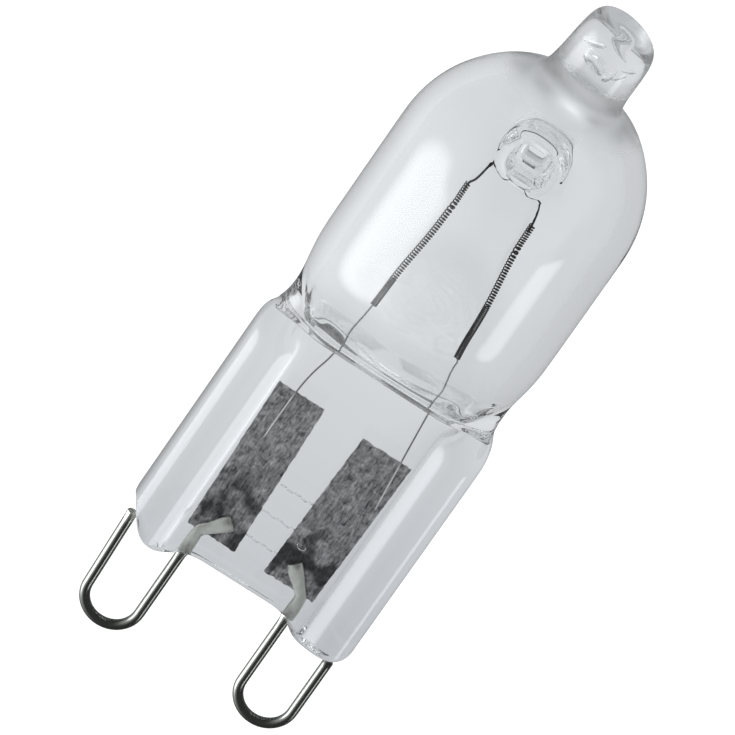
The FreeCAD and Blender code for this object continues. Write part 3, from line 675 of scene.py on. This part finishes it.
# Each foil leans outward a little: its middle at the foot and at the top, half width, foot and top.
FOIL_LIE = {"foil_left": (-2.34, -2.70, 1.40, 2.55, 11.66), "foil_right": (2.22, 2.47, 1.44, 2.55, 11.50)}
# Where the welded tab ends, as distance from the axis and height, and how far the crumples reach round it.
TAB_END = (2.05, 3.70)
CRUMPLE_REACH = (0.6, 2.2)
# The noises that shape the sheet and its ragged edge: size, and waves in a millimetre.
FINE = (0.010, 3.1)
CRUMPLES = [(0.075, 1.9), (0.045, 3.7)]
RAGGED = (0.07, 4.5)
EDGE_POWER = 12


def lay_foil(name, side):
    """Lays one foil as a grid, crumples it and gives it its thickness."""
    foot_middle, top_middle, half_width, foot, top = FOIL_LIE[name]
    bpy.ops.object.select_all(action="DESELECT")
    bpy.ops.mesh.primitive_grid_add(x_subdivisions=FOIL_COLUMNS, y_subdivisions=FOIL_ROWS, size=2)
    piece = bpy.context.object
    piece.name = f"sheet_{name}"
    tab_end = Vector((side * TAB_END[0], 0, TAB_END[1]))
    for vert in piece.data.vertices:
        rise = (vert.co.y + 1) / 2
        x = blend(foot_middle, top_middle, rise) + half_width * vert.co.x
        z = blend(foot, top, rise)
        spot = Vector((x, side * 5.0, z))
        near_tab = 1 - ease(*CRUMPLE_REACH, (Vector((x, 0, z)) - tab_end).length)
        fine = FINE[0] * noise.noise(spot * FINE[1])
        crumple = near_tab * sum(size * noise.noise(spot * waves) for size, waves in CRUMPLES)
        ragged = RAGGED[0] * noise.noise(spot * RAGGED[1] + Vector((9, 0, 0)))
        edge = max(abs(vert.co.x), abs(vert.co.y)) ** EDGE_POWER
        vert.co = Vector((x + ragged * edge * 0.5, fine + crumple, z + ragged * edge)) * MM
    sheet = piece.modifiers.new("thickness", "SOLIDIFY")
    sheet.thickness = FOIL_THICKNESS * MM
    sheet.offset = 0.0
    bpy.ops.object.modifier_apply(modifier=sheet.name)
    bpy.ops.object.mode_set(mode="EDIT")
    bpy.ops.mesh.select_all(action="SELECT")
    bpy.ops.mesh.normals_make_consistent(inside=False)
    bpy.ops.object.mode_set(mode="OBJECT")
    bpy.ops.object.shade_smooth_by_angle(angle=math.radians(50))
    return keep(piece, name)


foils = [lay_foil("foil_left", -1), lay_foil("foil_right", 1)]

# %% [markdown]
# ## The leads
# A thin lead of molybdenum runs up from each foil into the foot of a coil, pushed in for a few turns. So
# plain a wire is quickest as a curve with a round bevel, made into a mesh.

# %% Draw the leads
LEAD_RADIUS = 0.044
COIL_FOOT, COIL_TOP = 17.67, 25.80
COIL_TOP_HALF = 1.78
LEAD_FOOT = 8.64
LEAD_FOOT_ACROSS = {-1: 2.81, 1: 3.525}
WIRE_Y = -0.082


def leg_point(side, height):
    """A point on the straight line of a lead and its coil."""
    share = (COIL_TOP - height) / (COIL_TOP - LEAD_FOOT)
    return Vector((side * blend(COIL_TOP_HALF, LEAD_FOOT_ACROSS[side], share), WIRE_Y, height))


def draw_wire(name, points, radius, sides=3, kind="POLY"):
    """Draws a round wire through points in millimetres and makes it a mesh."""
    curve = bpy.data.curves.new(name, "CURVE")
    curve.dimensions = "3D"
    curve.bevel_depth = radius * MM
    curve.bevel_resolution = sides
    curve.use_fill_caps = True
    spline = curve.splines.new(kind)
    spline.points.add(len(points) - 1)
    for knot, place in zip(spline.points, points):
        knot.co = (*(Vector(place) * MM), 1.0)
    if kind == "NURBS":
        spline.order_u = 3
        spline.use_endpoint_u = True
        spline.resolution_u = 8
    piece = bpy.data.objects.new(name, curve)
    bpy.context.scene.collection.objects.link(piece)
    bpy.ops.object.select_all(action="DESELECT")
    piece.select_set(True)
    bpy.context.view_layer.objects.active = piece
    bpy.ops.object.convert(target="MESH")
    piece = bpy.context.object
    bpy.ops.object.mode_set(mode="EDIT")
    finish_mesh(piece)
    return piece


# The run of each lead, as (across, height), from the foil up to the foot of its coil.
LEAD_LINE = {
    -1: [
        (-2.98, 8.64), (-2.98, 9.6), (-2.97, 10.8), (-2.94, 12.0), (-2.82, 13.1), (-2.52, 14.3),
        (-2.42, 15.4),
    ],
    1: [
        (3.525, 8.64), (3.42, 9.6), (3.20, 11.8), (2.92, 14.6), (2.80, 16.0), (2.75, 16.9), (2.70, 17.25),
        (2.72, 17.5),
    ],
}
SIDES = ((-1, "left"), (1, "right"))
leads = []
for side, word in SIDES:
    route = [(x, WIRE_Y, z) for x, z in LEAD_LINE[side]]
    route += [leg_point(side, COIL_FOOT + rise) for rise in (0.0, 0.9, 1.8)]
    lead = draw_wire(f"wire_lead_{word}", route, LEAD_RADIUS, 3, "NURBS")
    leads.append(keep(lead, f"inner_lead_{word}"))

# %% [markdown]
# ## The filament
# The coil is the light source: some fifty turns of hair-thin tungsten wire in each leg, closed up where the
# lead sits inside. The plain wire between the two coils hangs over the glass post. A Screw modifier winds an
# even helix only, so the turns are worked out one by one and drawn as a curve.

# %% Wind the filament
COIL_RADIUS = 0.145
COIL_WIRE_RADIUS = 0.034
COIL_PITCH = 0.160
CLOSED_PITCH = 0.098
CLOSED_TOP = {-1: 19.5, 1: 21.0}
CLOSED_FADE = 0.15
# The legs are not quite straight: sway to each side, and its rate along the coil.
SWAY, SWAY_RATE = 0.035, 1.1
STEPS_A_TURN = 12
BRIDGE_RADIUS = 0.062
BRIDGE_RISE = 0.12
BRIDGE_TOP = POST_HEIGHT + POST_STEPS[-1][2] + BRIDGE_RISE


def wind_leg(side):
    """The points of one coiled leg from its foot to its top."""
    run = (leg_point(side, COIL_TOP) - leg_point(side, COIL_FOOT)).normalized()
    out = run.cross(Vector((0, 1, 0))).normalized()
    deep = out.cross(run)
    points = []
    height, angle = COIL_FOOT, 0.0
    while height < COIL_TOP:
        closed = 1 - ease(CLOSED_TOP[side] - CLOSED_FADE, CLOSED_TOP[side] + CLOSED_FADE, height)
        sway = SWAY * math.sin((height - COIL_FOOT) * SWAY_RATE + side)
        middle = leg_point(side, height) + out * sway
        points.append(middle + (out * math.cos(angle) + deep * math.sin(angle)) * COIL_RADIUS)
        angle += math.tau / STEPS_A_TURN
        height += blend(COIL_PITCH, CLOSED_PITCH, closed) / STEPS_A_TURN * run.z
    return points


coils = [draw_wire(f"coil_{word}", wind_leg(side), COIL_WIRE_RADIUS, 1) for side, word in SIDES]
# The plain wire over the post, as (across, height): kinked where it leaves each coil.
HOOK_LINE = [
    (-1.80, 25.3), (-1.84, 25.55), (-1.80, 25.9), (-1.62, 26.15), (-1.54, 26.5), (-1.46, 27.1), (-1.39, 27.7),
    (-1.385, 29.3), (-1.34, BRIDGE_TOP - 0.4), (-0.95, BRIDGE_TOP), (0.95, BRIDGE_TOP),
    (1.34, BRIDGE_TOP - 0.4), (1.385, 29.3), (1.39, 27.8), (1.52, 27.1), (1.66, 26.45), (1.74, 26.0),
    (1.79, 25.6), (1.80, 25.3),
]
hook = [(x, WIRE_Y, z) for x, z in HOOK_LINE]
bridge = draw_wire("bridge_wire", hook, BRIDGE_RADIUS, 3, "NURBS")
bpy.ops.object.select_all(action="DESELECT")
for piece in coils + [bridge]:
    piece.select_set(True)
bpy.context.view_layer.objects.active = bridge
bpy.ops.object.join()
bridge.name = "tungsten_filament"
filament = keep(bridge, "filament")

# %% [markdown]
# ## Materials
# Four metal finishes and one glass make up the bulb. Colours are written as sRGB hex values and turned to
# linear once. A few small functions each add one kind of node, so that a material reads as a short list.

# %% Helpers for materials
PER_MM = 1000.0


def colour(code):
    """An sRGB hex value as a linear colour."""
    parts = [int(code[i:i + 2], 16) / 255 for i in (1, 3, 5)]
    return (*[p / 12.92 if p <= 0.04045 else ((p + 0.055) / 1.055) ** 2.4 for p in parts], 1.0)


def add(tree, kind, settings=None, inputs=None):
    """Adds a node. An input is a plain value, or the socket that feeds it."""
    node = tree.nodes.new(kind)
    for name, value in (settings or {}).items():
        setattr(node, name, value)
    for name, value in (inputs or {}).items():
        if isinstance(value, bpy.types.NodeSocket):
            tree.links.new(value, node.inputs[name])
        else:
            node.inputs[name].default_value = value
    return node


def ramp(tree, value, low, high, first=0.0, last=1.0, kind="LINEAR"):
    """Map Range: goes from the first result at the low value to the last one at the high value."""
    node = add(tree, "ShaderNodeMapRange", {"interpolation_type": kind}, {
        "Value": value, "From Min": low, "From Max": high, "To Min": first, "To Max": last})
    return node.outputs["Result"]


def smooth_ramp(*settings):
    return ramp(*settings, kind="SMOOTHSTEP")


def calculate(tree, operation, *values):
    """Math with one, two or three values."""
    return add(tree, "ShaderNodeMath", {"operation": operation}, dict(enumerate(values))).outputs[0]


def mix(tree, share, first, last):
    """Mix between two colours, each a hex value or the socket that feeds it."""
    first, last = (colour(end) if isinstance(end, str) else end for end in (first, last))
    return add(tree, "ShaderNodeMix", {"data_type": "RGBA"}, {"Factor": share, 6: first, 7: last}).outputs[2]


def grains(tree, place, size, detail, **more):
    """Noise with grains about so many millimetres across."""
    settings = {"Vector": place, "Scale": PER_MM / size, "Detail": detail, **more}
    return add(tree, "ShaderNodeTexNoise", inputs=settings).outputs["Fac"]


def relief(tree, height, strength, distance):
    """Bump, with its distance in millimetres."""
    return add(tree, "ShaderNodeBump", inputs={
        "Height": height, "Strength": strength, "Distance": distance * MM}).outputs["Normal"]


def start_material(name):
    """A new material, its nodes, the place on the piece and that place by axis."""
    material = bpy.data.materials.new(name)
    material.use_nodes = True
    tree = material.node_tree
    tree.nodes.clear()
    place = add(tree, "ShaderNodeTexCoord").outputs["Object"]
    return material, tree, place, add(tree, "ShaderNodeSeparateXYZ", inputs={0: place}).outputs


def end_material(material, pieces, skin, **more):
    """Adds the surface and the output, and gives the material to its pieces."""
    tree = material.node_tree
    surface = add(tree, "ShaderNodeBsdfPrincipled", inputs=skin).outputs["BSDF"]
    add(tree, "ShaderNodeOutputMaterial", inputs={"Surface": surface, **more})
    give(material, pieces)


def give(material, pieces):
    for piece in pieces:
        piece.data.materials.clear()
        piece.data.materials.append(material)
    print(material.name, "nodes:", len(material.node_tree.nodes), "on", [piece.name for piece in pieces])


print("middle grey is", [round(part, 3) for part in colour("#808080")])

# %% [markdown]
# ## Fused quartz
# Fused quartz is water clear with an IOR of 1.46 and a fire-polished skin, so most of it has no roughness.
# The jaws and the flame leave it faintly wavy. It is rough in two places: round the root of the tip, where
# the exhaust tube was melted off, and along the seam above the jaws. A trace of grey is absorbed in the
# depth, and painted shade in the colour makes the pinch a little greyer low down and to the right.

# %% Clear quartz
# Fire-polished fused quartz: sharp reflections, a faint waviness some 3 mm long, grey in the depth; roughness
# 0.5 at the tip's root and 0.16 in a band 0.34 mm high at the seam.
TIP_ROOT = 33.20
SEAM, SEAM_HALF = 15.13, 0.17
quartz, tree, place, axes = start_material("fused_quartz_fire_polished")
wave = grains(tree, place, 3.0, 1.0)
root_gap = calculate(tree, "ABSOLUTE", calculate(tree, "SUBTRACT", axes["Z"], TIP_ROOT * MM))
melted = smooth_ramp(tree, root_gap, 0.4 * MM, 1.7 * MM, 0.50, 0.0)
seam = calculate(tree, "COMPARE", axes["Z"], SEAM * MM, SEAM_HALF * MM)
# Painted shade: the base colour turns greyer low in the pinch and towards its right side.
clear = ramp(tree, axes["Z"], 2.0 * MM, 15.0 * MM, 0.64, 1.0)
painted_shade_right = ramp(tree, axes["X"], 1.5 * MM, 6.0 * MM, 0.0, 0.26)
pressed = ramp(tree, axes["Z"], 13.6 * MM, 15.4 * MM, 1.0, 0.0)
clear = calculate(tree, "SUBTRACT", clear, calculate(tree, "MULTIPLY", painted_shade_right, pressed))
depth = add(tree, "ShaderNodeVolumeAbsorption", inputs={"Color": (0.80, 0.80, 0.80, 1.0), "Density": 60.0})
end_material(quartz, [glass], {
    "Base Color": mix(tree, clear, "#c8cbcf", "#fdfefe"),
    "Roughness": calculate(tree, "MULTIPLY_ADD", seam, 0.16, melted),
    "IOR": 1.46, "Transmission Weight": 1.0,
    "Normal": relief(tree, wave, 0.12, 0.05)}, Volume=depth.outputs["Volume"])

# %% [markdown]
# ## Nickel-coloured wire
# The loops are drawn wire with a bright, neutral grey surface and fine specks. The welded end that the glass
# was pressed round has been heated, and is pale and dull. Height along the bulb tells the two apart, so one
# material serves the whole wire.

# %% Nickel wire
# Drawn nickel wire: bright grey, roughness 0.22, specks of about 0.25 mm; paler, roughness 0.4 in the glass.
nickel, tree, place, axes = start_material("nickel_wire_bright")
heated = ramp(tree, axes["Z"], 0.6 * MM, 1.3 * MM)
specks = grains(tree, place, 0.25, 3.0)
bright = mix(tree, specks, "#7a7c77", "#8c8e89")
dull = mix(tree, specks, "#c4c6bf", "#f3f5ed")
end_material(nickel, loops, {
    "Base Color": mix(tree, heated, bright, dull), "Metallic": 1.0,
    "Roughness": ramp(tree, heated, 0.0, 1.0, 0.22, 0.40),
    "Normal": relief(tree, specks, 0.10, 0.01)})

# %% [markdown]
# ## Molybdenum foil
# The etched foil is a dull dark grey. Sealing leaves light and dark streaks along its length and blotches
# where the quartz has wetted it unevenly, and the foil is darker in patches towards the lower end. Two
# noises, one drawn out along the foil, give the grain, and a coarser one the patches.

# %% Molybdenum foil
# Etched molybdenum foil: dull grey, streaks about 0.1 mm wide and 0.6 mm long, blotches about 0.45 mm.
molybdenum, tree, place, axes = start_material("molybdenum_foil_etched")
drawn = add(tree, "ShaderNodeMapping", inputs={
    "Vector": place, "Scale": (PER_MM / 0.10, PER_MM / 0.10, PER_MM / 0.6)}).outputs["Vector"]
# The mapping has scaled the place already, so this noise has a scale of 1.
streaks = grains(tree, drawn, PER_MM, 6.0, Roughness=0.65, Distortion=0.8)
blotch = grains(tree, place, 0.45, 6.0, Roughness=0.7, Distortion=1.0)
share = ramp(tree, calculate(tree, "ADD", streaks, blotch), 0.76, 1.34)
# Darker in patches about 1.6 mm across, towards the lower end of the foil.
low_end = smooth_ramp(tree, axes["Z"], 7.4 * MM, 5.0 * MM)
dark_patches = ramp(tree, grains(tree, place, 1.6, 2.0), 0.46, 0.58, 0.0, 0.85)
etched = mix(tree, share, "#56565a", "#ffffff")
end_material(molybdenum, foils, {
    "Base Color": mix(tree, calculate(tree, "MULTIPLY", low_end, dark_patches), etched, "#2c2c2f"), "Metallic": 0.6,
    "Roughness": ramp(tree, share, 0.0, 1.0, 0.55, 0.38),
    "Normal": relief(tree, streaks, 0.3, 0.01)})

# %% [markdown]
# ## Tungsten and molybdenum wire
# Tungsten that has been coiled and fired is a dull, dark grey. The leads are molybdenum wire, lighter and
# smoother, with a painted highlight, near white, where they lie welded on the foils. The two differ only in
# tone and roughness, so one loop makes both.

# %% Filament and lead wire
# Fired tungsten: dark grey, matt, grain of 0.1 mm. Molybdenum wire: lighter, half bright; painted highlight
# on the foils.
PAINTED_HIGHLIGHT_FADE = (11.2 * MM, 11.7 * MM)
for name, dark, light, roughness, pieces in (
        ("tungsten_wire_fired", "#161617", "#333335", 0.55, [filament]),
        ("molybdenum_wire_drawn", "#737376", "#a9a9ab", 0.30, leads)):
    wire, tree, place, axes = start_material(name)
    grain = grains(tree, place, 0.1, 2.0)
    # Painted highlight: the lead turns near white below the top of the foil.
    painted_highlight_share = ramp(tree, axes["Z"], *PAINTED_HIGHLIGHT_FADE, 1.0, 0.0)
    end_material(wire, pieces, {
        "Base Color": mix(tree, painted_highlight_share, mix(tree, grain, dark, light), "#fafaf8"), "Metallic": 0.9,
        "Roughness": roughness, "Normal": relief(tree, grain, 0.2, 0.005)})

# %% [markdown]
# ## Studio
# Clear glass shows little but its surroundings, so the studio is part of the picture. Shiny skins mirror a
# dim room with a soft box on the left and a narrow strip light on the right. Through the glass shows a pale
# grey, bright overhead and dark towards the viewer, which draws the dimples. The camera itself sees plain
# white. Cards and lamps could do this too, but the world's nodes can tell the kinds of ray apart.

# %% World
world = bpy.data.worlds.new("studio")
bpy.context.scene.world = world
world.use_nodes = True
tree = world.node_tree
tree.nodes.clear()
SOFT_BOX = Vector((-0.862, -0.280, -0.42)).normalized()
STRIP = Vector((0.825, -0.395, -0.42)).normalized()
VIEWER = Vector((0.0, -0.75, 0.66)).normalized()
PLAIN_LEVEL = 0.8
rays = add(tree, "ShaderNodeLightPath").outputs
heading = add(tree, "ShaderNodeTexCoord").outputs["Generated"]
parts = add(tree, "ShaderNodeSeparateXYZ", inputs={0: heading}).outputs


def facing(aim):
    """How nearly a ray heads for an aim: 1 straight at it."""
    return add(tree, "ShaderNodeVectorMath", {"operation": "DOT_PRODUCT"}, {
        0: heading, 1: aim}).outputs["Value"]


def choose(ray, otherwise, level):
    """Takes a level for one kind of ray."""
    return add(tree, "ShaderNodeMix", {"data_type": "FLOAT"}, {
        "Factor": rays[ray], 2: otherwise, 3: level}).outputs[0]


# What shiny metal and the skin of the glass mirror: a dim room, a soft box on the left and a strip light.
room = smooth_ramp(tree, parts["Y"], -0.2, 0.6, 0.10, 0.22)
to_box = facing(SOFT_BOX)
box_light = smooth_ramp(tree, to_box, 0.85, 0.97, 0.0, 5.0)
wide_light = smooth_ramp(tree, to_box, 0.40, 1.0, 0.0, 1.2)
strip_light = smooth_ramp(tree, facing(STRIP), 0.982, 0.998, 0.0, 3.5)
lights = calculate(tree, "ADD", wide_light, calculate(tree, "ADD", box_light, strip_light))
mirrored = calculate(tree, "ADD", room, lights)
# What is seen through the glass: a pale grey that falls off to the right, and is dark on the viewer's side.
behind = ramp(tree, parts["X"], -0.6, 0.6, 0.84, 0.685)
ceiling = smooth_ramp(tree, parts["Z"], 0.45, 0.95, 1.0, 0.75)
top_light = smooth_ramp(tree, parts["Z"], 0.74, 0.92, 0.0, 1.4)
viewer_side = smooth_ramp(tree, facing(VIEWER), 0.45, 0.90, 1.0, 0.15)
bare_room = calculate(tree, "MULTIPLY", calculate(tree, "MULTIPLY", behind, ceiling), viewer_side)
lit_room = calculate(tree, "ADD", bare_room, top_light)
through = calculate(tree, "MULTIPLY_ADD", box_light, 0.11, lit_room)
level = choose("Is Glossy Ray", PLAIN_LEVEL, mirrored)
level = choose("Is Transmission Ray", level, through)
level = choose("Is Camera Ray", level, 1.0)
tint = mix(tree, rays["Is Camera Ray"], "#fafcff", "#ffffff")
sky = add(tree, "ShaderNodeBackground", inputs={"Color": tint, "Strength": level})
add(tree, "ShaderNodeOutputWorld", inputs={"Surface": sky.outputs["Background"]})
print("world nodes:", len(tree.nodes))

# %% [markdown]
# ## Floor and lamp
# A sheet of white paper lies well below the bulb. The glass neither mirrors it nor shows it, because the
# world already gives the glass its light and dark. A large round lamp to the upper left lights the metal.

# %% Floor and lamp
FLOOR = -50.0
FLOOR_SIZE = 4.0
LAMP_PLACE = (-0.15, -0.20, 0.30)
LAMP_AIM = Vector((0, 0, 0.015))
LAMP_SIZE = 0.20
LAMP_POWER = 0.9
bpy.ops.object.select_all(action="DESELECT")
bpy.ops.mesh.primitive_grid_add(
    x_subdivisions=4, y_subdivisions=4, size=FLOOR_SIZE, location=(0, 0, FLOOR * MM))
floor = bpy.context.object
floor.name = "studio_floor"
floor.visible_glossy = False
floor.visible_transmission = False
paper = bpy.data.materials.new("white_paper")
paper.use_nodes = True
tree = paper.node_tree
tree.nodes.clear()
rays = add(tree, "ShaderNodeLightPath").outputs
bare = add(tree, "ShaderNodeBsdfDiffuse", inputs={"Color": colour("#f2f2f2")})
dim = add(tree, "ShaderNodeBsdfDiffuse", inputs={"Color": (0.28, 0.28, 0.28, 1.0)})
glow = add(tree, "ShaderNodeEmission", inputs={"Color": colour("#ffffff"), "Strength": 0.86})
white = add(tree, "ShaderNodeAddShader", inputs={0: dim.outputs[0], 1: glow.outputs[0]})
mixed = add(tree, "ShaderNodeMixShader", inputs={
    0: rays["Is Camera Ray"], 1: bare.outputs[0], 2: white.outputs[0]})
add(tree, "ShaderNodeOutputMaterial", inputs={"Surface": mixed.outputs[0]})
give(paper, [floor])
bpy.ops.object.light_add(type="AREA", location=LAMP_PLACE)
lamp = bpy.context.object
lamp.data.shape = "DISK"
lamp.data.size = LAMP_SIZE
lamp.data.energy = LAMP_POWER
lamp.visible_glossy = False
lamp.visible_transmission = False
lamp.rotation_euler = (LAMP_AIM - lamp.location).to_track_quat("-Z", "Y").to_euler()
print("lamp at", [round(v, 3) for v in lamp.location])

# %% [markdown]
# ## Camera
# The photograph looks down on the front of the bulb from about 25 degrees, and the bulb leans 35 degrees to
# the right in the frame. A long lens from half a metre keeps its sides nearly parallel.

# %% Camera
ELEVATION, AZIMUTH, LEAN = math.radians(25), math.radians(-5), math.radians(35)
AIM = Vector((-0.737, 0.0, 14.61)) * MM
DISTANCE = 0.5
across = Vector((math.cos(AZIMUTH), math.sin(AZIMUTH), 0))
back = Vector((
    math.sin(AZIMUTH) * math.cos(ELEVATION), -math.cos(AZIMUTH) * math.cos(ELEVATION), math.sin(ELEVATION)))
upward = back.cross(across)
right = math.cos(LEAN) * across + math.sin(LEAN) * upward
top = -math.sin(LEAN) * across + math.cos(LEAN) * upward
camera = bpy.data.objects.new("camera", bpy.data.cameras.new("camera"))
bpy.context.scene.collection.objects.link(camera)
camera.data.sensor_width = 36
camera.data.lens = 505
camera.data.clip_start = 0.01
turned = Matrix((right, top, back)).transposed().to_4x4()
camera.matrix_world = Matrix.Translation(AIM + DISTANCE * back) @ turned
bpy.context.scene.camera = camera
bpy.context.scene.cycles.max_bounces = 24
bpy.context.scene.cycles.glossy_bounces = 16
bpy.context.scene.cycles.transmission_bounces = 24
bpy.context.scene.view_settings.view_transform = "Standard"
print("camera at", [round(v, 3) for v in camera.matrix_world.translation])
